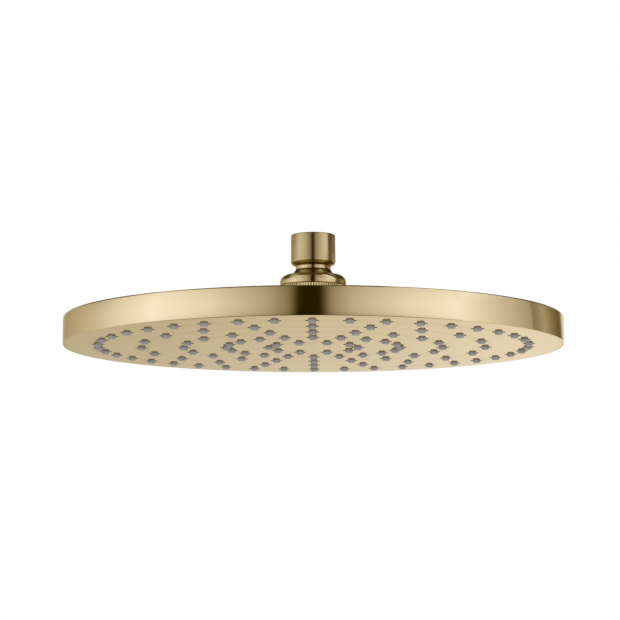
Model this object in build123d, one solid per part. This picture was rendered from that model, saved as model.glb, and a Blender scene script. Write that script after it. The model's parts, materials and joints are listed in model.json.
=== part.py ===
"""Round overhead shower head with a ball joint, in millimetres.

The origin is the middle of the inlet's mouth, where the shower arm screws in. +Z points up, out of
the mouth, and everything else hangs below it: collar, neck, ball, hub, disc and nozzles.
"""
import os
from math import acos, asin, cos, degrees, pi, radians, sin, tan

from build123d import *

# Driving dimensions: the disc
HEAD_DIAMETER = 300.0
RIM_HEIGHT = 16.3
SHELL_WALL = 2.0
RIM_WALL = 2.4
RIM_LIP = 1.0
BACK_EDGE_CHAMFER = 0.7
FACE_EDGE_CHAMFER = 0.8
FACE_THICKNESS = 1.6
MAT_THICKNESS = 1.6
CLAMP_WIDTH = 6.0
RIM_SEAL_WIDTH = 2.6

# Driving dimensions: the nozzle field
RING_COUNTS = (10, 20, 20, 20, 40)
FIRST_RING_RADIUS = 26.8
LAST_RING_MARGIN = 20.7
HOLE_DIAMETER = 7.6
NOZZLE_ROOT_DIAMETER = 6.6
NOZZLE_TIP_DIAMETER = 3.9
NOZZLE_REACH = 1.5
NOZZLE_BORE = 1.3

# Driving dimensions: the inlet connector, with a G 1/2 thread
THREAD_DIAMETER = 20.955
THREAD_DEPTH = 12.0
COLLAR_WALL = 3.0
COLLAR_LENGTH = 18.9
COLLAR_ROUND = 2.5
COLLAR_CHAMFER = 0.9
FLAT_DEPTH = 0.4
FLAT_HEIGHT = 7.0
FLAT_ANGLE = -19.0
NECK_DIAMETER = 21.2
BALL_DIAMETER = 27.0
BALL_DROP = 29.7
BALL_CUT = 2.0
WATERWAY_DIAMETER = 12.0
WASHER_LEDGE = 1.2
WASHER_THICKNESS = 1.8
WASHER_BORE = 12.0
SCREEN_THICKNESS = 0.5
RESTRICTOR_DIAMETER = 15.0
RESTRICTOR_THICKNESS = 3.0
RESTRICTOR_BORE = 5.0

# Driving dimensions: the ball joint's socket, with angles above or below the ball's equator
BALL_TO_BACK = 22.7
LIP_ANGLE = 23.5
POCKET_ANGLE = 18.0
FRICTION_RING_ANGLE = 7.0
FRICTION_RING_THICKNESS = 1.4
SEAL_TOP_ANGLE = 25.0
SEAL_BORE = 18.8
SEAT_BELOW_BALL = 1.2
SEAT_MARGIN = 0.8
HUB_TOP_DROP = 5.0
HUB_WALL = 2.6
HUB_WATERWAY = 17.0
FLANGE_STEP = 4.9
FLANGE_HEIGHT = 4.0
FLANGE_CHAMFER = 1.2
GASKET_THICKNESS = 1.0
TAIL_DIAMETER = 26.0
TAIL_SPARE = 1.5
LOCK_NUT_HEIGHT = 4.0
LOCK_NUT_WALL = 4.0
NUT_WALL = 3.1
NUT_GAP = 1.2
DOME_RADIUS = 4.5
DOME_RISE = 0.3
DOME_SLOPE = 14.0
MOUTH_FLARE = 0.75
KNURL_TEETH = 75
KNURL_DEPTH = 0.45
KNURL_TOP_DROP = 1.3
KNURL_LAND = 1.2

# Clearances
BALL_PLAY = 0.12
THREAD_PLAY = 0.1
SEAT_PLAY = 0.1
EDGE_PLAY = 0.15

# A nozzle and its hole have flat sides rather than round ones, because there are so many of them.
NOZZLE_SIDES = 6
BORE_SIDES = 4

# Radii and heights that several pieces share
head_r = HEAD_DIAMETER / 2
rim_inner_r = head_r - RIM_WALL
mat_r = rim_inner_r - RIM_SEAL_WIDTH - 2 * EDGE_PLAY
ball_r = BALL_DIAMETER / 2
socket_r = ball_r + BALL_PLAY
thread_r = THREAD_DIAMETER / 2
seat_r = ball_r + SEAT_MARGIN
boss_r = seat_r + HUB_WALL
nut_bore_r = boss_r + THREAD_PLAY
nut_r = nut_bore_r + NUT_WALL
flange_r = nut_r + FLANGE_STEP
tail_r = TAIL_DIAMETER / 2

ball_z = -BALL_DROP
back_z = ball_z - BALL_TO_BACK
ceiling_z = back_z - SHELL_WALL
face_z = back_z - RIM_HEIGHT
plate_top_z = face_z + FACE_THICKNESS
mat_top_z = plate_top_z + MAT_THICKNESS
hub_top_z = ball_z - HUB_TOP_DROP
seat_z = ball_z - ball_r - SEAT_BELOW_BALL
flange_z = back_z + GASKET_THICKNESS
flange_top_z = flange_z + FLANGE_HEIGHT

washer_seat_r = thread_r - WASHER_LEDGE
washer_seat_z = -THREAD_DEPTH - WASHER_THICKNESS - SCREEN_THICKNESS - SEAT_PLAY
restrictor_z = washer_seat_z - RESTRICTOR_THICKNESS - SEAT_PLAY

ring_step = (head_r - LAST_RING_MARGIN - FIRST_RING_RADIUS) / (len(RING_COUNTS) - 1)
nozzle_places = [
    ((FIRST_RING_RADIUS + ring_step * k) * cos(2 * pi * n / count),
     (FIRST_RING_RADIUS + ring_step * k) * sin(2 * pi * n / count))
    for k, count in enumerate(RING_COUNTS)
    for n in range(count)
]


def on_arc(radius, angle, centre=(0, ball_z)):
    """Point (radius, height) of an arc at an angle above the horizontal, about the ball by default."""
    return (centre[0] + radius * cos(radians(angle)), centre[1] + radius * sin(radians(angle)))


def turned(*outline):
    """Solid turned about Z from a closed outline of (radius, height) lines and arcs."""
    return revolve(Plane.XZ * make_face(list(outline)), Axis.Z)


def disc(outer_r, low_z, high_z):
    """Flat disc about Z between two heights."""
    return extrude(Plane.XY.offset(low_z) * Circle(outer_r), high_z - low_z)


def ring(inner_r, outer_r, low_z, high_z):
    """Flat ring about Z between two heights."""
    return disc(outer_r, low_z, high_z) - disc(inner_r, low_z, high_z)


def at_nozzles(section):
    """The same flat section at every nozzle's place, as one sketch."""
    return Sketch() + [Pos(x, y) * section for x, y in nozzle_places]


def make_ball_connector():
    """Brass inlet turned in one: threaded collar with two spanner flats, neck and drilled ball."""
    neck_r = NECK_DIAMETER / 2
    waterway_r = WATERWAY_DIAMETER / 2
    restrictor_r = RESTRICTOR_DIAMETER / 2 + SEAT_PLAY
    collar_r = thread_r + COLLAR_WALL
    collar_z = -COLLAR_LENGTH
    round_centre = (collar_r - COLLAR_ROUND, collar_z + COLLAR_ROUND)
    low_angle = degrees(asin(BALL_CUT / ball_r - 1))
    neck_angle = degrees(acos(neck_r / ball_r))
    ball_low = on_arc(ball_r, low_angle)
    body = turned(
        Line((waterway_r, ball_low[1]), ball_low),
        CenterArc((0, ball_z), ball_r, low_angle, neck_angle - low_angle),
        Polyline(on_arc(ball_r, neck_angle), (neck_r, collar_z), (round_centre[0], collar_z)),
        CenterArc(round_centre, COLLAR_ROUND, -90, 90),
        Polyline(
            (collar_r, round_centre[1]),
            (collar_r, -COLLAR_CHAMFER),
            (collar_r - COLLAR_CHAMFER, 0),
            (thread_r, 0),
            (thread_r, -THREAD_DEPTH),
            (washer_seat_r, -THREAD_DEPTH),
            (washer_seat_r, washer_seat_z),
            (restrictor_r, washer_seat_z),
            (restrictor_r, restrictor_z),
            (waterway_r, restrictor_z),
            (waterway_r, ball_low[1]),
        ),
    )
    flat = Box(collar_r, 2 * collar_r, FLAT_HEIGHT, align=(Align.MIN, Align.CENTER, Align.MIN))
    for turn in (FLAT_ANGLE, FLAT_ANGLE + 180):
        body -= Rot(0, 0, turn) * Pos(collar_r - FLAT_DEPTH, 0, collar_z) * flat
    return body


def make_inlet_washer():
    """Flat rubber washer that the shower arm is screwed down on."""
    low_z = washer_seat_z + SCREEN_THICKNESS
    return ring(WASHER_BORE / 2, washer_seat_r - SEAT_PLAY, low_z, low_z + WASHER_THICKNESS)


def make_filter_screen():
    """Disc of fine wire cloth, clamped under the washer."""
    return disc(washer_seat_r - SEAT_PLAY, washer_seat_z, washer_seat_z + SCREEN_THICKNESS)


def make_flow_restrictor():
    """Plastic disc with one small hole, in its own seat below the screen."""
    top_z = restrictor_z + RESTRICTOR_THICKNESS
    return ring(RESTRICTOR_BORE / 2, RESTRICTOR_DIAMETER / 2, restrictor_z, top_z)


def make_friction_ring():
    """Acetal ring snapped over the ball's equator; both of its faces are parts of spheres."""
    outer_r = socket_r + FRICTION_RING_THICKNESS
    low, high = -FRICTION_RING_ANGLE, FRICTION_RING_ANGLE
    return turned(
        CenterArc((0, ball_z), socket_r, low, high - low),
        Line(on_arc(socket_r, high), on_arc(outer_r, high)),
        CenterArc((0, ball_z), outer_r, low, high - low),
        Line(on_arc(outer_r, low), on_arc(socket_r, low)),
    )


def make_ball_seal():
    """Rubber seat in the hub, hollowed to the ball and bored for the water."""
    outer_r = seat_r - SEAT_PLAY
    bore_r = SEAL_BORE / 2
    low_angle = -degrees(acos(bore_r / socket_r))
    top = on_arc(socket_r, -SEAL_TOP_ANGLE)
    return turned(
        CenterArc((0, ball_z), socket_r, low_angle, -SEAL_TOP_ANGLE - low_angle),
        Polyline(
            top,
            (outer_r, top[1]),
            (outer_r, seat_z),
            (bore_r, seat_z),
            on_arc(socket_r, low_angle),
        ),
    )


def make_retaining_nut():
    """Domed brass nut with a straight knurl; its lip closes over the ball from above."""
    pocket_r = socket_r + FRICTION_RING_THICKNESS + BALL_PLAY
    low_z = flange_top_z + NUT_GAP
    step_z = hub_top_z + 3 * THREAD_PLAY
    knurl_high_z = ball_z - KNURL_TOP_DROP
    knurl_low_z = low_z + KNURL_LAND
    root_r = nut_r - KNURL_DEPTH
    dome_angle = 90 - DOME_SLOPE
    dome_centre = (nut_r - DOME_RADIUS, ball_z + DOME_RISE)
    dome_top = on_arc(DOME_RADIUS, dome_angle, dome_centre)
    lip_edge = on_arc(socket_r, LIP_ANGLE)
    mouth_r = lip_edge[0] + MOUTH_FLARE
    mouth = (mouth_r, dome_top[1] + (dome_top[0] - mouth_r) * tan(radians(DOME_SLOPE)))
    core = turned(
        Polyline(
            (nut_bore_r, low_z),
            (root_r, low_z),
            (nut_r, low_z + KNURL_DEPTH),
            (nut_r, knurl_low_z),
            (root_r, knurl_low_z),
            (root_r, knurl_high_z),
            (nut_r, knurl_high_z),
            (nut_r, dome_centre[1]),
        ),
        CenterArc(dome_centre, DOME_RADIUS, 0, dome_angle),
        Polyline(dome_top, mouth, lip_edge),
        CenterArc((0, ball_z), socket_r, POCKET_ANGLE, LIP_ANGLE - POCKET_ANGLE),
        Line(on_arc(socket_r, POCKET_ANGLE), on_arc(pocket_r, POCKET_ANGLE)),
        CenterArc((0, ball_z), pocket_r, 0, POCKET_ANGLE),
        Polyline(
            (pocket_r, ball_z),
            (pocket_r, step_z),
            (nut_bore_r, step_z),
            (nut_bore_r, low_z),
        ),
    )
    # The knurl is one star-shaped ring, with a tooth's tip and a root in turn.
    tip_r = nut_r - KNURL_DEPTH / 10
    star = []
    for half_step in range(2 * KNURL_TEETH):
        radius = root_r if half_step % 2 else tip_r
        angle = pi * half_step / KNURL_TEETH
        star.append((radius * cos(angle), radius * sin(angle)))
    section = make_face(Polyline(*star, close=True)) - Circle((nut_bore_r + root_r) / 2)
    return core + extrude(Plane.XY.offset(knurl_low_z) * section, knurl_high_z - knurl_low_z)


def make_hub():
    """Brass boss on the back: seat for the seal, thread for the nut, flange and threaded tail."""
    tail_z = ceiling_z - LOCK_NUT_HEIGHT - TAIL_SPARE
    water_r = HUB_WATERWAY / 2
    return turned(
        Polyline(
            (water_r, tail_z),
            (tail_r, tail_z),
            (tail_r, flange_z),
            (flange_r, flange_z),
            (flange_r, flange_top_z - FLANGE_CHAMFER),
            (flange_r - FLANGE_CHAMFER, flange_top_z),
            (boss_r, flange_top_z),
            (boss_r, hub_top_z),
            (seat_r, hub_top_z),
            (seat_r, seat_z),
            (water_r, seat_z),
            close=True,
        )
    )


def make_hub_gasket():
    """Rubber ring that seals the hub's flange to the back of the shell."""
    return ring(tail_r + SEAT_PLAY, flange_r - FLANGE_CHAMFER, back_z, flange_z)


def make_hub_lock_nut():
    """Thin six-sided nut that draws the hub down from inside the shell."""
    bore_r = tail_r + THREAD_PLAY
    section = RegularPolygon(bore_r + LOCK_NUT_WALL, 6, major_radius=False) - Circle(bore_r)
    return extrude(Plane.XY.offset(ceiling_z - LOCK_NUT_HEIGHT) * section, LOCK_NUT_HEIGHT)


def make_back_shell():
    """Back and rim of the disc in one; a rebate inside the rim takes the face plate."""
    hole_r = tail_r + SEAT_PLAY
    lip_r = head_r - RIM_LIP
    return turned(
        Polyline(
            (hole_r, ceiling_z),
            (rim_inner_r, ceiling_z),
            (rim_inner_r, plate_top_z),
            (lip_r, plate_top_z),
            (lip_r, face_z),
            (head_r - FACE_EDGE_CHAMFER, face_z),
            (head_r, face_z + FACE_EDGE_CHAMFER),
            (head_r, back_z - BACK_EDGE_CHAMFER),
            (head_r - BACK_EDGE_CHAMFER, back_z),
            (hole_r, back_z),
            close=True,
        )
    )


def make_face_plate():
    """Flat plate in the rim's rebate, with a clearance hole for every nozzle."""
    holes = at_nozzles(RegularPolygon(HOLE_DIAMETER / 2, NOZZLE_SIDES))
    section = Circle(head_r - RIM_LIP - EDGE_PLAY) - holes
    return extrude(Plane.XY.offset(face_z) * section, FACE_THICKNESS)


def make_nozzle_mat():
    """One silicone moulding: a flat mat with a tapered, bored nozzle through every hole."""
    tip_z = face_z - NOZZLE_REACH
    root = Plane.XY.offset(plate_top_z) * RegularPolygon(NOZZLE_ROOT_DIAMETER / 2, NOZZLE_SIDES)
    tip = Plane.XY.offset(tip_z) * RegularPolygon(NOZZLE_TIP_DIAMETER / 2, NOZZLE_SIDES)
    nozzle = loft([tip, root])
    body = disc(mat_r, plate_top_z, mat_top_z) + [Pos(x, y, 0) * nozzle for x, y in nozzle_places]
    bores = at_nozzles(RegularPolygon(NOZZLE_BORE / 2, BORE_SIDES))
    return body - extrude(Plane.XY.offset(tip_z) * bores, mat_top_z - tip_z)


def make_clamp_ring():
    """Plastic ring between the shell and the mat's edge, which it holds down on the face plate."""
    outer_r = rim_inner_r - EDGE_PLAY
    return ring(outer_r - CLAMP_WIDTH, outer_r, mat_top_z, ceiling_z)


def make_perimeter_seal():
    """Rubber ring round the mat, under the clamp ring, which closes the corner at the rim."""
    outer_r = rim_inner_r - EDGE_PLAY
    return ring(outer_r - RIM_SEAL_WIDTH, outer_r, plate_top_z, mat_top_z)


PIECES = {
    "ball_connector": make_ball_connector,
    "inlet_washer": make_inlet_washer,
    "filter_screen": make_filter_screen,
    "flow_restrictor": make_flow_restrictor,
    "friction_ring": make_friction_ring,
    "ball_seal": make_ball_seal,
    "retaining_nut": make_retaining_nut,
    "hub": make_hub,
    "hub_gasket": make_hub_gasket,
    "hub_lock_nut": make_hub_lock_nut,
    "back_shell": make_back_shell,
    "face_plate": make_face_plate,
    "nozzle_mat": make_nozzle_mat,
    "clamp_ring": make_clamp_ring,
    "perimeter_seal": make_perimeter_seal,
}

os.makedirs("parts", exist_ok=True)
for name, make in PIECES.items():
    export_step(make(), f"parts/{name}.step")
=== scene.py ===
"""Round overhead shower head in brushed gold, dressed over its solids, in metres."""
import json
from math import acos, asin, atan2, cos, degrees, pi, radians, sin, tan

import bpy
from mathutils import Matrix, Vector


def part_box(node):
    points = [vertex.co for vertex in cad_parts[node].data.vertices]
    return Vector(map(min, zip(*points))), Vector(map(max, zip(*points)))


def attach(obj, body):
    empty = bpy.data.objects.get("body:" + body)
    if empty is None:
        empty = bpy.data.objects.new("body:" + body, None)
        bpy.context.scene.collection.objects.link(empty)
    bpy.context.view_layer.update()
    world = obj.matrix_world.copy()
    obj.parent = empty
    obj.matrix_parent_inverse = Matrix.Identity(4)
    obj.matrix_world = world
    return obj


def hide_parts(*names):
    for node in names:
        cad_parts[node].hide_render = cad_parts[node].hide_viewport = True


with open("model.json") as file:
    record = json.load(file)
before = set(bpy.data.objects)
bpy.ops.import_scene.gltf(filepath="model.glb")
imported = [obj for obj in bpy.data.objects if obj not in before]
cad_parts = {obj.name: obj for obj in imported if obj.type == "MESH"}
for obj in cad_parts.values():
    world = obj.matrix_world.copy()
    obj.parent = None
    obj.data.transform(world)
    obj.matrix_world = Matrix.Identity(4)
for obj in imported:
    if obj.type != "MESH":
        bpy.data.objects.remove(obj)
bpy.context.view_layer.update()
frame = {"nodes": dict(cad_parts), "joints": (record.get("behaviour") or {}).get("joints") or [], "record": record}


# Ball connector: the inlet, turned in one from brass and coated gold, with the collar that the shower
# arm screws into, two spanner flats, a neck, and the drilled ball that the head hangs on.
def arc(centre, radius, start, end, points):
    """Points along an arc of an outline, between two angles above the horizontal."""
    turns = [radians(start + (end - start) * step / (points - 1)) for step in range(points)]
    return [(centre[0] + radius * cos(turn), centre[1] + radius * sin(turn)) for turn in turns]


def drawn(name, outline):
    """A closed outline of (radius, height) points, drawn beside the axis."""
    bpy.ops.object.select_all(action="DESELECT")
    bpy.ops.mesh.primitive_circle_add(vertices=len(outline), radius=1)
    piece = bpy.context.object
    piece.name = piece.data.name = name
    for corner, (radius, height) in zip(piece.data.vertices, outline):
        corner.co = (radius, 0, height)
    return piece


def close_up(smooth_below, open_ends=False):
    """Merges the doubled corners of the piece in hand, turns its faces out and smooths shallow edges."""
    bpy.ops.object.mode_set(mode="EDIT")
    bpy.ops.mesh.select_all(action="SELECT")
    bpy.ops.mesh.remove_doubles(threshold=1e-6)
    if open_ends:
        bpy.ops.mesh.fill_holes(sides=0)
        bpy.ops.mesh.select_all(action="SELECT")
    bpy.ops.mesh.normals_make_consistent(inside=False)
    bpy.ops.object.mode_set(mode="OBJECT")
    bpy.ops.object.shade_smooth_by_angle(angle=radians(smooth_below))


def turned(name, outline, steps):
    """A piece turned on a lathe: its outline spun about Z."""
    piece = drawn(name, outline)
    bpy.ops.object.mode_set(mode="EDIT")
    bpy.ops.mesh.select_all(action="SELECT")
    bpy.ops.mesh.spin(steps=steps, angle=2 * pi, center=(0, 0, 0), axis=(0, 0, 1))
    close_up(smooth_below=32)
    return piece


class Value:
    """A shader socket that takes part in sums: each operator adds the Math node that does it."""

    def __init__(self, nodes, socket):
        self.nodes, self.socket = nodes, socket

    def node(self, kind, settings, inputs, output=0):
        """Adds a node: first its settings, with a ramp's grey stops, then its sockets' values and links."""
        made = self.nodes.new(kind)
        for name, setting in settings.items():
            if name == "stops":
                # A new ramp already has its first stop, at 0, and its last, at 1
                for position, grey in setting[1:-1]:
                    made.color_ramp.elements.new(position)
                for stop, (position, grey) in zip(made.color_ramp.elements, setting):
                    stop.color = (grey, grey, grey, 1)
            else:
                setattr(made, name, setting)
        for name, value in inputs.items():
            if isinstance(value, Value):
                self.nodes.id_data.links.new(value.socket, made.inputs[name])
            else:
                made.inputs[name].default_value = value
        return Value(self.nodes, made.outputs[output])

    def math(self, operation, first, second=0.0):
        """A Math node, for what no operator says."""
        return self.node("ShaderNodeMath", {"operation": operation}, {0: first, 1: second})

    def noise(self, cells_per_metre, detail=2.0):
        """Noise over a place, with about this many cells to the metre."""
        inputs = {"Vector": self, "Scale": cells_per_metre, "Detail": detail}
        return self.node("ShaderNodeTexNoise", {}, inputs)

    def axis(self, name):
        """One axis of a vector."""
        return self.node("ShaderNodeSeparateXYZ", {}, {"Vector": self}, name)

    def between(self, first, second):
        """A colour from the first to the second, as this value goes from 0 to 1."""
        factor, colour_a, colour_b, colour_out = 0, 6, 7, 2
        inputs = {factor: self, colour_a: (*first, 1), colour_b: (*second, 1)}
        return self.node("ShaderNodeMix", {"data_type": "RGBA"}, inputs, colour_out)

    def feed(self, shader, name):
        """Links this value to a socket of a shader that is already there."""
        self.nodes.id_data.links.new(self.socket, shader.inputs[name])

    def __add__(self, other):
        return self.math("ADD", self, other)

    def __sub__(self, other):
        return self.math("SUBTRACT", self, other)

    def __rsub__(self, other):
        return self.math("SUBTRACT", other, self)

    def __mul__(self, other):
        return self.math("MULTIPLY", self, other)

    def __truediv__(self, other):
        return self.math("DIVIDE", self, other)

    def __rtruediv__(self, other):
        return self.math("DIVIDE", other, self)

    def __pow__(self, other):
        return self.math("POWER", self, other)

    def __rpow__(self, other):
        return self.math("POWER", other, self)

    __radd__, __rmul__ = __add__, __mul__


def new_material(name):
    """A material with its surface shader, and the Object coordinates that its pattern reads."""
    material = bpy.data.materials.new(name)
    material.use_nodes = True
    nodes = material.node_tree.nodes
    place = Value(nodes, nodes.new("ShaderNodeTexCoord").outputs["Object"])
    return material, nodes["Principled BSDF"], place


def from_axis(place):
    """Distance from the head's own axis, which is never quite 0, so that it can divide."""
    x, y, never_zero = place.axis("X"), place.axis("Y"), 1e-9
    return (x * x + y * y + never_zero) ** 0.5


def brushed_gold(name, pale, deep, roughness, grain, stretch, lines_per_metre=5000, depth=0.06):
    """Gold coat on brass that was brushed while it turned, so fine lines run round the axis."""
    breaks_round, clouds_per_metre, line_height = 5, 18.0, 2e-5
    line_share, cloud_share, cloud_grain = 0.7, 0.3, 0.5
    material, surface, place = new_material(name)
    radius = from_axis(place)
    round_axis = {
        "X": place.axis("X") / radius * breaks_round,
        "Y": place.axis("Y") / radius * breaks_round,
        "Z": radius * lines_per_metre,
    }
    line_place = {
        "Vector": place.node("ShaderNodeCombineXYZ", {}, round_axis),
        "W": place.axis("Z") * lines_per_metre,
        "Scale": 1.0,
        "Detail": 2.0,
    }
    lines = place.node("ShaderNodeTexNoise", {"noise_dimensions": "4D"}, line_place)
    clouds = place.noise(clouds_per_metre, detail=1.0)
    (lines * line_share + clouds * cloud_share).between(deep, pale).feed(surface, "Base Color")
    mean_grain = (1 + cloud_grain) / 2 * grain
    (lines * grain + clouds * (cloud_grain * grain) + (roughness - mean_grain)).feed(surface, "Roughness")
    bump = {"Strength": depth, "Distance": line_height, "Height": lines}
    place.node("ShaderNodeBump", {}, bump).feed(surface, "Normal")
    surface.inputs["Metallic"].default_value = 1.0
    surface.inputs["Specular Tint"].default_value = (0.90, 0.81, 0.62, 1)
    surface.inputs["Anisotropic"].default_value = stretch
    surface.inputs["Anisotropic Rotation"].default_value = 0.25
    return material


inlet = frame["record"]["mounts"][0]["dims"]
thread_r, thread_depth = inlet["r_mm"] / 1000, inlet["length_mm"] / 1000
ball_z = frame["joints"][0]["pos_m"][2]
ball_low_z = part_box("ball_connector")[0].z
ball_r, neck_r, waterway_r = 0.0135, 0.0106, 0.006
collar_wall, collar_length = 0.003, 0.0189
collar_r = thread_r + collar_wall
collar_round, collar_chamfer, lead_in, neck_fillet = 0.0025, 0.0009, 0.0006, 0.0008
flat_depth, flat_height, flat_angle = 0.0004, 0.007, radians(-19)
seat_play = 0.0001
washer_seat_r, washer_seat_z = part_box("inlet_washer")[1].x + seat_play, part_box("filter_screen")[0].z
restrictor_low, restrictor_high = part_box("flow_restrictor")
restrictor_r, restrictor_z = restrictor_high.x + seat_play, restrictor_low.z
ball_low_angle = degrees(asin((ball_low_z - ball_z) / ball_r))
neck_angle = degrees(acos(neck_r / ball_r))

connector = turned(
    "ball_connector_turned",
    [
        (waterway_r, ball_low_z),
        *arc((0, ball_z), ball_r, ball_low_angle, neck_angle, points=40),
        *arc((neck_r + neck_fillet, -collar_length - neck_fillet), neck_fillet, 180, 90, points=5),
        *arc((collar_r - collar_round, collar_round - collar_length), collar_round, -90, 0, points=9),
        *arc((collar_r - collar_chamfer, -collar_chamfer), collar_chamfer, 0, 90, points=5),
        (thread_r + lead_in, 0),
        (thread_r, -lead_in),
        (thread_r, -thread_depth),
        (washer_seat_r, -thread_depth),
        (washer_seat_r, washer_seat_z),
        (restrictor_r, washer_seat_z),
        (restrictor_r, restrictor_z),
        (waterway_r, restrictor_z),
    ],
    steps=160,
)
cutter_width = collar_r
cutter_middle = collar_r - flat_depth + cutter_width / 2
for turn in (flat_angle, flat_angle + pi):
    bpy.ops.object.select_all(action="DESELECT")
    bpy.ops.mesh.primitive_cube_add(
        size=1,
        location=(cutter_middle * cos(turn), cutter_middle * sin(turn), flat_height / 2 - collar_length),
        rotation=(0, 0, turn),
        scale=(cutter_width, 2 * collar_r, flat_height),
    )
    cutter = bpy.context.object
    flat = connector.modifiers.new("spanner_flat", "BOOLEAN")
    flat.object = cutter
    bpy.context.view_layer.objects.active = connector
    bpy.ops.object.modifier_apply(modifier=flat.name)
    bpy.data.objects.remove(cutter)
bpy.ops.object.select_all(action="DESELECT")
connector.select_set(True)
bpy.ops.object.shade_smooth_by_angle(angle=radians(32))

coat_pale, coat_deep = (0.83, 0.70, 0.46), (0.74, 0.61, 0.375)
# The stem's colours are the coat's, darkened as painted shade on the collar, its bore and the thread.
shaded_stem_pale, shaded_stem_deep = (0.555, 0.445, 0.25), (0.475, 0.375, 0.20)
turned_pale, turned_deep = (0.65, 0.53, 0.31), (0.57, 0.46, 0.255)
# The ball and the collar's underside get a much darker copy of the coat, with a less stretched brushing. The
# darkness is painted shade where the collar hangs over them.
shaded_pale, shaded_deep = (0.36, 0.265, 0.10), (0.28, 0.205, 0.07)
stem_gold = brushed_gold("stem_gold", shaded_stem_pale, shaded_stem_deep, roughness=0.23, grain=0.05, stretch=0.7)
milled_gold = brushed_gold("milled_gold", coat_pale, coat_deep, roughness=0.36, grain=0.05, stretch=0.0)
turned_gold = brushed_gold(
    "turned_gold", turned_pale, turned_deep, roughness=0.13, grain=0.04, stretch=0.6, depth=0.04
)
dull_gold = brushed_gold(
    "dull_gold", shaded_pale, shaded_deep, roughness=0.2, grain=0.04, stretch=0.3, depth=0.04
)
connector_golds = [stem_gold, milled_gold, turned_gold, dull_gold]
for gold in connector_golds:
    connector.data.materials.append(gold)
facing_flat, facing_down = 0.9999, -0.2
for side in connector.data.polygons:
    on_flat = abs(side.normal.x * cos(flat_angle) + side.normal.y * sin(flat_angle)) > facing_flat
    on_ball = side.center.z < ball_z + ball_r * sin(radians(neck_angle))
    below_collar = side.center.z < collar_round - collar_length
    # Faces of the ball, and faces under the collar that point down, take the darker copy as painted shade.
    in_painted_shade = on_ball or (below_collar and side.normal.z < facing_down)
    gold = turned_gold if below_collar else stem_gold
    if in_painted_shade:
        gold = dull_gold
    if on_flat:
        gold = milled_gold
    side.material_index = connector_golds.index(gold)
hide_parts("ball_connector")
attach(connector, "connector")

# Inlet thread: the ridge of the pipe thread that is cut into the collar's bore. It is one spiral with
# sloping flanks, which starts below the mouth and runs out above the washer.
thread_pitch, thread_turns, thread_ridge = 0.001814, 5, 0.00058
ridge_foot, ridge_crest, ridge_root = thread_pitch * 0.46, thread_pitch * 0.12, 0.00002
thread_low_z = -thread_depth + thread_pitch * 0.6

thread = drawn(
    "inlet_thread_ridge",
    [
        (thread_r + ridge_root, thread_low_z - ridge_foot),
        (thread_r + ridge_root, thread_low_z + ridge_foot),
        (thread_r - thread_ridge, thread_low_z + ridge_crest),
        (thread_r - thread_ridge, thread_low_z - ridge_crest),
    ],
)
spiral = thread.modifiers.new("spiral", "SCREW")
spiral.screw_offset, spiral.iterations = thread_pitch, thread_turns
spiral.steps = spiral.render_steps = 72
bpy.ops.object.modifier_apply(modifier=spiral.name)
close_up(smooth_below=25, open_ends=True)
thread.data.materials.append(stem_gold)
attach(thread, "connector")


# Inlet washer: a flat black rubber ring that the shower arm is screwed down on, to seal the thread.
# It drops loose into the collar and holds the screen down.
def rubber(name, dark, light, roughness, sheen=0.5):
    """Moulded rubber: matt, a little mottled, with the faint grain of its mould."""
    mottles_per_metre, grains_per_metre, grain_height, spread = 260.0, 4200.0, 4e-5, 0.14
    material, surface, place = new_material(name)
    mottle = place.noise(mottles_per_metre, detail=3.0)
    mottle.between(dark, light).feed(surface, "Base Color")
    (mottle * spread + (roughness - spread / 2)).feed(surface, "Roughness")
    grain = place.noise(grains_per_metre, detail=1.0)
    bump = {"Strength": 0.15, "Distance": grain_height, "Height": grain}
    place.node("ShaderNodeBump", {}, bump).feed(surface, "Normal")
    surface.inputs["Specular IOR Level"].default_value = sheen
    return material


def finish_solid(node, material):
    """Gives its one material to a solid that is shown as it is."""
    solid = frame["nodes"][node]
    solid.data.materials.clear()
    solid.data.materials.append(material)


black_rubber = rubber("black_rubber", (0.028, 0.028, 0.028), (0.06, 0.06, 0.058), roughness=0.7)
finish_solid("inlet_washer", black_rubber)


# Filter screen: a disc of woven steel wire in a pressed rim, clamped under the washer, which keeps
# grit out of the nozzles.
def plain_metal(name, dark, light, stains_per_metre, detail, roughness):
    """Bare metal, cloudy with faint stains, and a little rougher where it is paler."""
    spread = 0.2
    material, surface, place = new_material(name)
    stains = place.noise(stains_per_metre, detail)
    stains.between(dark, light).feed(surface, "Base Color")
    (stains * spread + roughness).feed(surface, "Roughness")
    surface.inputs["Metallic"].default_value = 1.0
    return material


screen_low, screen_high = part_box("filter_screen")
screen_r, screen_z = screen_high.x, (screen_low.z + screen_high.z) / 2
screen_rim, screen_wire, screen_cells, cloth_inset = 0.0012, 0.00028, 22, 0.00048
half_rim = (screen_high.z - screen_low.z) / 2

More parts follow.
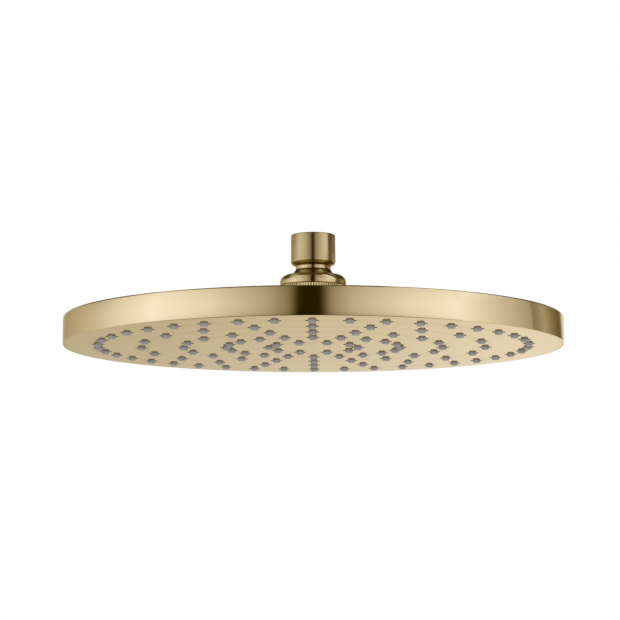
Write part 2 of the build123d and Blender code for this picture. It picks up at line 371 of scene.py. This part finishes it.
bpy.ops.object.select_all(action="DESELECT")
bpy.ops.mesh.primitive_grid_add(
    x_subdivisions=screen_cells, y_subdivisions=screen_cells, size=2 * screen_r, location=(0, 0, screen_z)
)
screen = bpy.context.object
screen.name = screen.data.name = "filter_screen_cloth"
bpy.ops.object.transform_apply(location=True, rotation=True, scale=True)
for corner in screen.data.vertices:
    corner.select = corner.co.xy.length > screen_r - cloth_inset
bpy.ops.object.mode_set(mode="EDIT")
bpy.ops.mesh.delete(type="VERT")
bpy.ops.object.mode_set(mode="OBJECT")
wires = screen.modifiers.new("wires", "WIREFRAME")
wires.thickness, wires.use_even_offset, wires.use_boundary = screen_wire, False, True
bpy.ops.object.modifier_apply(modifier=wires.name)
screen_edge = turned(
    "filter_screen_rim",
    [
        (screen_r - screen_rim, screen_z - half_rim),
        (screen_r, screen_z - half_rim),
        (screen_r, screen_z + half_rim),
        (screen_r - screen_rim, screen_z + half_rim),
    ],
    steps=64,
)
for piece in (screen_edge, screen):
    piece.select_set(True)
bpy.context.view_layer.objects.active = screen
bpy.ops.object.join()
steel_dark, steel_light = (0.42, 0.42, 0.41), (0.62, 0.62, 0.61)
wire_steel = plain_metal("wire_steel", steel_dark, steel_light, 300.0, detail=2.0, roughness=0.25)
screen.data.materials.append(wire_steel)
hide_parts("filter_screen")
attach(screen, "connector")

# Flow restrictor and friction ring: small rings moulded in white plastic. The restrictor lies in its
# seat below the screen, and the friction ring is snapped over the ball's equator inside the nut.
acetal_dark, acetal_light = (0.74, 0.74, 0.71), (0.84, 0.84, 0.81)
acetal_roughness, acetal_spread = 0.36, 0.12

acetal, acetal_surface, acetal_place = new_material("white_acetal")
flow_mark = acetal_place.node(
    "ShaderNodeTexNoise", {}, {"Vector": acetal_place, "Scale": 120.0, "Distortion": 1.5}
)
flow_mark.between(acetal_dark, acetal_light).feed(acetal_surface, "Base Color")
(flow_mark * acetal_spread + acetal_roughness).feed(acetal_surface, "Roughness")
finish_solid("flow_restrictor", acetal)
finish_solid("friction_ring", acetal)

# Ball seal: the black rubber seat under the ball, pressed into the hub. The nut draws the ball down
# on it, and its grip is what keeps the head at the tilt it was set to.
finish_solid("ball_seal", black_rubber)

# Retaining nut: a domed brass nut, turned and coated gold, with a straight knurl to turn it by and a
# fine groove above that. It screws on the hub, and its lip closes over the ball.
nut_low, nut_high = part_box("retaining_nut")
nut_r, nut_low_z, nut_bore_r, nut_step_drop = nut_high.x, nut_low.z, 0.017, 0.0047
nut_step_z = ball_z - nut_step_drop
knurl_teeth, knurl_depth, knurl_land, knurl_run_out = 75, 0.00045, 0.0012, 0.0002
groove_depth, groove_top_drop = 0.0003, 0.0013
groove_low_z = ball_z - groove_top_drop - 2 * groove_depth
knurl_low_z = nut_low_z + knurl_land
dome_r, dome_rise, dome_slope = 0.0045, 0.0003, 14
lip_angle, pocket_angle, pocket_r = 23.5, 18, 0.01514
ball_play, mouth_flare = 0.00012, 0.00075
# How far each column of one tooth is cut, from its crest down a flank to the flat root and up again
tooth_cut = (0.0, 0.25, 0.52, 1.0, 1.0, 1.0, 0.52, 0.25)
knurl_columns = len(tooth_cut) * knurl_teeth

dome = arc((nut_r - dome_r, ball_z + dome_rise), dome_r, 0, 90 - dome_slope, points=14)
lip = arc((0, ball_z), ball_r + ball_play, lip_angle, pocket_angle, points=3)
pocket = arc((0, ball_z), pocket_r, pocket_angle, 0, points=6)
mouth_r = lip[0][0] + mouth_flare
mouth_z = dome[-1][1] + (dome[-1][0] - mouth_r) * tan(radians(dome_slope))
nut = turned(
    "retaining_nut_turned",
    [
        (nut_bore_r, nut_low_z),
        (nut_r - knurl_depth, nut_low_z),
        (nut_r, nut_low_z + knurl_depth),
        (nut_r, knurl_low_z),
        (nut_r, knurl_low_z + knurl_run_out),
        (nut_r, groove_low_z - knurl_run_out),
        (nut_r, groove_low_z),
        (nut_r - groove_depth, groove_low_z + groove_depth),
        (nut_r, groove_low_z + 2 * groove_depth),
        *dome,
        (mouth_r, mouth_z),
        *lip,
        *pocket,
        (pocket_r, nut_step_z),
        (nut_bore_r, nut_step_z),
    ],
    steps=knurl_columns,
)
hair = 1e-5
for corner in nut.data.vertices:
    between_lands = knurl_low_z + hair < corner.co.z < groove_low_z - hair
    if between_lands and corner.co.xy.length > nut_r - hair:
        column = round(atan2(corner.co.y, corner.co.x) * knurl_columns / (2 * pi)) % len(tooth_cut)
        corner.co.xy *= 1 - knurl_depth * tooth_cut[column] / nut_r
bpy.ops.object.shade_smooth_by_angle(angle=radians(20))
nut.data.materials.append(turned_gold)
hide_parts("retaining_nut")
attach(nut, "head")

# Hub: the turned brass boss on the back of the disc, coated gold, with a flange, a thread for the
# nut and a bore that the ball seal sits in. Its tail goes through the shell.
hub_low, hub_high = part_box("hub")
boss_r, seat_r, tail_r, water_r = 0.0169, 0.0143, 0.013, 0.0085
flange_r, flange_low_z = hub_high.x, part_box("hub_gasket")[1].z
flange_height, flange_round, flange_ease, seal_play = 0.004, 0.0012, 0.0003, 0.00003
flange_top_z = flange_low_z + flange_height
seat_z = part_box("ball_seal")[0].z - seal_play

hub = turned(
    "hub_turned",
    [
        (water_r, hub_low.z),
        (tail_r, hub_low.z),
        (tail_r, flange_low_z),
        (flange_r - flange_ease, flange_low_z),
        (flange_r, flange_low_z + flange_ease),
        *arc((flange_r - flange_round, flange_top_z - flange_round), flange_round, 0, 90, points=7),
        (boss_r, flange_top_z),
        (boss_r, hub_high.z),
        (seat_r, hub_high.z),
        (seat_r, seat_z),
        (water_r, seat_z),
    ],
    steps=160,
)
hub.data.materials.append(turned_gold)
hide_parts("hub")
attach(hub, "head")

# Hub gasket and lock nut: a black rubber ring under the hub's flange, and the thin brass nut that
# draws the hub down from inside the shell.
brass_dark, brass_light = (0.62, 0.44, 0.17), (0.76, 0.60, 0.30)
brass = plain_metal("plain_turned_brass", brass_dark, brass_light, 160.0, detail=3.0, roughness=0.24)
finish_solid("hub_gasket", black_rubber)
finish_solid("hub_lock_nut", brass)

# Back shell: the back and the upright rim of the disc in one, drawn and turned from brass, brushed
# round and coated gold. A rebate inside the rim takes the face plate.
shell_low, shell_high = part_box("back_shell")
head_r, back_z, face_z = shell_high.x, shell_high.z, shell_low.z
shell_wall, rim_wall, rim_lip = 0.002, 0.0024, 0.001
back_edge, edge_ease, ease_sag, face_edge = 0.0007, 0.0001, 0.00003, 0.0004
plate_top_z, hub_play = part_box("face_plate")[1].z, 0.0001
shell_bore_r = tail_r + hub_play

shell = turned(
    "back_shell_turned",
    [
        (shell_bore_r, back_z - shell_wall),
        (head_r - rim_wall, back_z - shell_wall),
        (head_r - rim_wall, plate_top_z),
        (head_r - rim_lip, plate_top_z),
        (head_r - rim_lip, face_z),
        *arc((head_r - face_edge, face_z + face_edge), face_edge, -90, 0, points=5),
        (head_r, back_z - back_edge - edge_ease),
        (head_r - ease_sag, back_z - back_edge),
        (head_r - back_edge, back_z - ease_sag),
        (head_r - back_edge - edge_ease, back_z),
        (shell_bore_r, back_z),
    ],
    steps=360,
)

# The face has fine turned rings, and a faint painted shade along each ring of nozzle holes, where the nozzles
# stand out of it.
ring_counts = (10, 20, 20, 20, 40)
first_ring_r, last_ring_r = 0.0268, 0.1293
ring_step = (last_ring_r - first_ring_r) / (len(ring_counts) - 1)
ring_shade_width, ring_shade = 0.0034, 0.4
turnings_per_metre, swells_per_metre, turning_share, swell_share, lift = 450, 70, 0.4, 0.6, 0.05
face_deep, face_pale = (0.63, 0.515, 0.31), (0.89, 0.755, 0.50)
face_roughness, face_grain = 0.03, 0.02

face_gold, face_surface, face_place = new_material("face_gold")
face_radius = from_axis(face_place)
turning, swell = [
    face_place.node(
        "ShaderNodeTexNoise",
        {"noise_dimensions": "1D"},
        {"W": face_radius * rings_per_metre, "Scale": 1.0, "Detail": 2.0},
    )
    for rings_per_metre in (turnings_per_metre, swells_per_metre)
]
rings_out = (face_radius - first_ring_r) / ring_step
nearest_ring = face_place.math("ROUND", face_place.math("MAXIMUM", rings_out, 0.0))
off_ring = (rings_out - nearest_ring) * (ring_step / ring_shade_width)
shade = face_place.math("EXPONENT", off_ring * off_ring * -1.0)
tone = turning * turning_share + swell * swell_share + lift - shade * ring_shade
tone.between(face_deep, face_pale).feed(face_surface, "Base Color")
(turning * face_grain + face_roughness).feed(face_surface, "Roughness")
face_surface.inputs["Metallic"].default_value = 1.0
face_surface.inputs["Specular Tint"].default_value = (0.70, 0.606, 0.405, 1)
rim_gold = brushed_gold(
    "rim_gold", coat_pale, coat_deep, roughness=0.12, grain=0.06, stretch=0.85, lines_per_metre=3000
)
back_gold = brushed_gold(
    "back_gold",
    coat_pale,
    coat_deep,
    roughness=0.3,
    grain=0.08,
    stretch=0.6,
    lines_per_metre=1500,
    depth=0.08,
)
shell_golds = [rim_gold, face_gold, back_gold]
for gold in shell_golds:
    shell.data.materials.append(gold)
facing_square = 0.99
for side in shell.data.polygons:
    on_face = side.normal.z < -facing_square and side.center.z < face_z + hair
    on_back = side.normal.z > facing_square and side.center.z > back_z - hair
    gold = rim_gold
    if on_face:
        gold = face_gold
    if on_back:
        gold = back_gold
    side.material_index = shell_golds.index(gold)
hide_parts("back_shell")
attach(shell, "head")

# Face plate: a flat brass plate in the rim's rebate, turned on its face and coated gold like the
# shell, with a round clearance hole for every nozzle.
plate_low, plate_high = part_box("face_plate")
plate_r, hole_r, hole_edge = plate_high.x, 0.0038, 0.00008
ring_places = [
    (first_ring_r + ring_step * ring, 2 * pi * number / count)
    for ring, count in enumerate(ring_counts)
    for number in range(count)
]
nozzle_places = [(radius * cos(turn), radius * sin(turn)) for radius, turn in ring_places]

bpy.ops.object.select_all(action="DESELECT")
bpy.ops.curve.primitive_bezier_circle_add(radius=plate_r)
plate = bpy.context.object
plate.name = plate.data.name = "face_plate_drilled"
plate.data.dimensions = "2D"
plate.data.fill_mode = "BOTH"
plate.data.extrude = (plate_high.z - plate_low.z) / 2 - hole_edge
plate.data.bevel_depth, plate.data.bevel_resolution = hole_edge, 1
plate.data.offset = -hole_edge
bpy.ops.object.mode_set(mode="EDIT")
for x, y in nozzle_places:
    bpy.ops.curve.primitive_bezier_circle_add(radius=hole_r, location=(x, y, 0))
bpy.ops.object.mode_set(mode="OBJECT")
outer_edge, *holes = plate.data.splines
outer_edge.resolution_u = 72
for hole in holes:
    hole.resolution_u = 7
bpy.ops.object.convert(target="MESH")
plate.data.transform(Matrix.Translation((0, 0, (plate_low.z + plate_high.z) / 2)))
close_up(smooth_below=14)
plate.data.materials.append(face_gold)
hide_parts("face_plate")
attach(plate, "head")

# Nozzle mat: one grey silicone moulding, a flat mat with a tapered, rounded nozzle through every
# hole of the plate. Each nozzle is bored through, and it can be rubbed clean of lime.
mat_low, mat_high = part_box("nozzle_mat")
mat_r, mat_top_z, tip_z = mat_high.x, mat_high.z, mat_low.z
root_r, tip_r, tip_round, bore_r, bore_flare = 0.0033, 0.0022, 0.0006, 0.0006, 0.00015
nozzle_taper = 14

nozzle = turned(
    "nozzle",
    [
        (bore_r, mat_top_z),
        (root_r, mat_top_z),
        (root_r, plate_top_z),
        *arc((tip_r - tip_round, tip_z + tip_round), tip_round, nozzle_taper, -90, points=4),
        (bore_r + bore_flare, tip_z),
        (bore_r, tip_z + bore_flare),
    ],
    steps=14,
)
nozzles = []
for x, y in nozzle_places:
    moulded = nozzle.copy()
    moulded.data = nozzle.data.copy()
    moulded.data.transform(Matrix.Translation((x, y, 0)))
    bpy.context.collection.objects.link(moulded)
    nozzles.append(moulded)
bpy.data.objects.remove(nozzle)
mat = turned(
    "nozzle_mat_moulded",
    [(0, plate_top_z), (mat_r, plate_top_z), (mat_r, mat_top_z), (0, mat_top_z)],
    steps=120,
)
for moulded in nozzles:
    moulded.select_set(True)
bpy.ops.object.join()
silicone_dark, silicone_light = (0.345, 0.335, 0.345), (0.415, 0.40, 0.41)
silicone = rubber("grey_silicone", silicone_dark, silicone_light, roughness=0.6, sheen=0.15)
mat.data.materials.append(silicone)
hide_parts("nozzle_mat")
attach(mat, "head")

# Clamp ring and perimeter seal: a plastic ring that holds the mat's edge down on the plate, and the
# rubber ring that closes the corner at the rim.
finish_solid("clamp_ring", acetal)
finish_solid("perimeter_seal", black_rubber)

# Floor: a plain sheet of pale paper well below the head, which hangs as if from its arm. It takes the
# soft shadow, and the metal doesn't mirror it.
floor_z, floor_width = -1.4, 4.4

bpy.ops.object.select_all(action="DESELECT")
bpy.ops.mesh.primitive_plane_add(size=floor_width, location=(0, 0, floor_z))
floor = bpy.context.object
floor.name = "floor"
pale_paper, paper_surface, paper_place = new_material("pale_paper")
fibre = paper_place.noise(90.0)
fibre.between((0.84, 0.835, 0.82), (0.88, 0.875, 0.86)).feed(paper_surface, "Base Color")
paper_surface.inputs["Roughness"].default_value = 0.9
floor.data.materials.append(pale_paper)
floor.visible_glossy = False


# Studio tent: a round wall and roof of cloth that only the metal mirrors. It has a dark gap behind the
# camera, a bright panel on each side, a dim roof, a dim flag high at the back, a dim skirt low at the
# front, and a white panel low at the back, for the face.
def rise(value, start, end):
    """Goes smoothly from 0 at the start to 1 at the end."""
    limits = {"Value": value, "From Min": start, "From Max": end}
    return value.node("ShaderNodeMapRange", {"interpolation_type": "SMOOTHSTEP"}, limits)


def shine(material, surface, level, blue_loss=0.0):
    """Makes a material shine by itself at this level, and warmer where it is dimmer."""
    green_power, blue_power = 1.12, 1.4
    nodes = material.node_tree.nodes
    nodes.remove(surface)
    green = level ** green_power
    blue = level.math("MAXIMUM", level ** blue_power - (1 - level) * blue_loss, 0.0)
    colour = level.node("ShaderNodeCombineColor", {}, {"Red": level, "Green": green, "Blue": blue})
    shining = level.node("ShaderNodeEmission", {}, {"Color": colour, "Strength": 1.0})
    shining.feed(nodes["Material Output"], "Surface")


def mirrored_only(sheet):
    """Leaves a sheet for the metal to mirror, and lets other light through it."""
    sheet.visible_camera = sheet.visible_diffuse = sheet.visible_shadow = sheet.visible_transmission = False


tent_r, tent_low_z, tent_high_z = 2.4, -1.3, 3.2
# Angle round the tent from the camera, in degrees, positive to the right, and the wall's level there
tent_levels = (
    (-180, 0.78), (-172, 0.66), (-150, 0.5), (-112, 0.72), (-72, 1.22), (-44, 1.0), (-18, 0.57),
    (-9, 0.32), (-5, 0.021), (5, 0.021), (9, 0.37), (18, 0.66), (42, 1.0), (66, 1.2), (74, 0.9),
    (84, 0.3), (96, 0.2), (113, 0.26), (126, 0.5), (136, 0.3), (146, 0.17), (151, 0.2), (157, 0.8),
    (172, 0.95), (180, 0.78),
)
tent_turn, brightest = radians(1.3), 1.25
fade_low_z, fade_high_z, high_level = 0.35, 1.3, 0.8
flag_level, flag_low_z, flag_high_z, flag_near_y, flag_far_y = 0.17, 1.9, 2.6, 0.0, 1.2
roof_level, roof_inner_r, roof_edge_r, roof_hem = 0.16, 1.6, 2.3, 0.02
skirt_level, skirt_low_z, skirt_high_z, skirt_near_y, skirt_far_y = 0.25, -0.5, -0.08, -0.6, 1.0
panel_gain, panel_low_z, panel_high_z, panel_near_y, panel_far_y = 0.28, -0.2, 0.0, 1.6, 2.2
ground_front, ground_back, ground_near_y, ground_far_y, ground_hem = 0.15, 0.8, -1.0, 1.0, 0.15

bpy.ops.object.select_all(action="DESELECT")
bpy.ops.mesh.primitive_cylinder_add(
    vertices=96,
    radius=tent_r,
    depth=tent_high_z - tent_low_z,
    location=(0, 0, (tent_low_z + tent_high_z) / 2),
)
tent = bpy.context.object
tent.name = "studio_tent"
bpy.ops.object.transform_apply(location=True, rotation=True, scale=True)
tent_cloth, cloth_surface, cloth_place = new_material("tent_cloth")
cloth_x, cloth_y, cloth_z = cloth_place.axis("X"), cloth_place.axis("Y"), cloth_place.axis("Z")
azimuth = cloth_place.math("ARCTAN2", cloth_x, 0 - cloth_y) + tent_turn
wall_stops = [(angle / 360 + 0.5, level / brightest) for angle, level in tent_levels]
ramp = cloth_place.node("ShaderNodeValToRGB", {"stops": wall_stops}, {"Fac": azimuth / (2 * pi) + 0.5})
panel = rise(cloth_y, panel_near_y, panel_far_y) * (1 - rise(cloth_z, panel_low_z, panel_high_z))
flag = rise(cloth_y, flag_near_y, flag_far_y) * (1 - rise(cloth_z, flag_low_z, flag_high_z))
roof_middle = 1 - rise(from_axis(cloth_place), roof_inner_r, roof_edge_r)
roof = rise(cloth_z, tent_high_z - roof_hem, tent_high_z) * roof_middle
high = high_level + flag * (flag_level - high_level) + roof * (roof_level - high_level)
above = rise(cloth_z, fade_low_z, fade_high_z)
skirt = (1 - rise(cloth_z, skirt_low_z, skirt_high_z)) * (1 - rise(cloth_y, skirt_near_y, skirt_far_y))
ground = ground_front + rise(cloth_y, ground_near_y, ground_far_y) * (ground_back - ground_front)
on_ground = 1 - rise(cloth_z, tent_low_z, tent_low_z + ground_hem)
low_wall = ramp * brightest * (1 + panel * panel_gain)
wall = low_wall * (1 + above * (high - 1)) * (1 + skirt * (skirt_level - 1))
cloth_level = wall * (1 - on_ground) + ground * on_ground
shine(tent_cloth, cloth_surface, cloth_level, blue_loss=0.015)
tent.data.materials.append(tent_cloth)
mirrored_only(tent)

# Side card: a white card that stands just right of the head and ends level with its middle. The rim
# mirrors all of it, but the stem sees past its edge into the dark.
card_near, card_far, card_low_z, card_high_z = (0.250, -0.19), (0.230, -0.034), -0.5, 0.6
card_near_level, card_far_level, card_top_level = 1.14, 0.47, 1.15
card_fade_low_z, card_fade_high_z = -0.01, 0.02

bpy.ops.object.select_all(action="DESELECT")
bpy.ops.mesh.primitive_plane_add(size=1)
card = bpy.context.object
card.name = "side_card"
card_corners = [(*end, height) for height in (card_low_z, card_high_z) for end in (card_near, card_far)]
for corner, card_corner in zip(card.data.vertices, card_corners):
    corner.co = card_corner
card_paper, card_surface, card_place = new_material("card_paper")
along_card = (card_place.axis("Y") - card_near[1]) / (card_far[1] - card_near[1])
low_card = along_card * (card_far_level - card_near_level) + card_near_level
on_top = rise(card_place.axis("Z"), card_fade_low_z, card_fade_high_z)
shine(card_paper, card_surface, low_card + on_top * (card_top_level - low_card))
card.data.materials.append(card_paper)
mirrored_only(card)

# Lamps and background: a soft box overhead that casts the shadow on the floor, one behind the camera
# that lights the sides of the nozzles, and a white background for the camera.
world_level = 0.6
soft_boxes = (
    {"name": "soft_box_above", "place": (0, 0, 1.5), "tilt": 0, "width": 0.9, "power": 18},
    {"name": "soft_box_front", "place": (0, -2.0, -0.15), "tilt": radians(90), "width": 1.2, "power": 17},
)

for box in soft_boxes:
    lamp = bpy.data.lights.new(box["name"], "AREA")
    lamp.energy, lamp.size = box["power"], box["width"]
    holder = bpy.data.objects.new(box["name"], lamp)
    bpy.context.collection.objects.link(holder)
    holder.location = box["place"]
    holder.rotation_euler = (box["tilt"], 0, 0)
    holder.visible_glossy = holder.visible_camera = False

world = bpy.data.worlds.new("white_studio")
bpy.context.scene.world = world
world.use_nodes = True
sky = world.node_tree.nodes
path = sky.new("ShaderNodeLightPath")
camera_ray, glossy_ray, glass_ray = [
    Value(sky, path.outputs[ray]) for ray in ("Is Camera Ray", "Is Glossy Ray", "Is Transmission Ray")
]
shown = camera_ray.math("MINIMUM", camera_ray + glossy_ray + glass_ray, 1.0)
(shown * (1 - world_level) + world_level).feed(sky["Background"], "Strength")
sky["Background"].inputs["Color"].default_value = (1, 1, 1, 1)

# Camera: a long lens a little below the face, as the photograph was taken. Its place and its angles
# were fitted to the disc's outline and to the nozzles.
camera_place, camera_pitch, camera_yaw, camera_roll = (0.0050, -1.1118, -0.1942), 7.602, 0.36, -0.072
image_width, focal_pixels, sensor_width = 620, 1854.3, 36.0

lens = bpy.data.cameras.new("camera")
lens.sensor_width, lens.lens = sensor_width, focal_pixels * sensor_width / image_width
camera = bpy.data.objects.new("camera", lens)
bpy.context.collection.objects.link(camera)
camera.location = camera_place
camera.rotation_euler = (radians(90 + camera_pitch), 0, radians(camera_yaw))
camera.rotation_euler.rotate_axis("Z", radians(camera_roll))
bpy.context.scene.camera = camera
bpy.context.scene.view_settings.view_transform = "Standard"
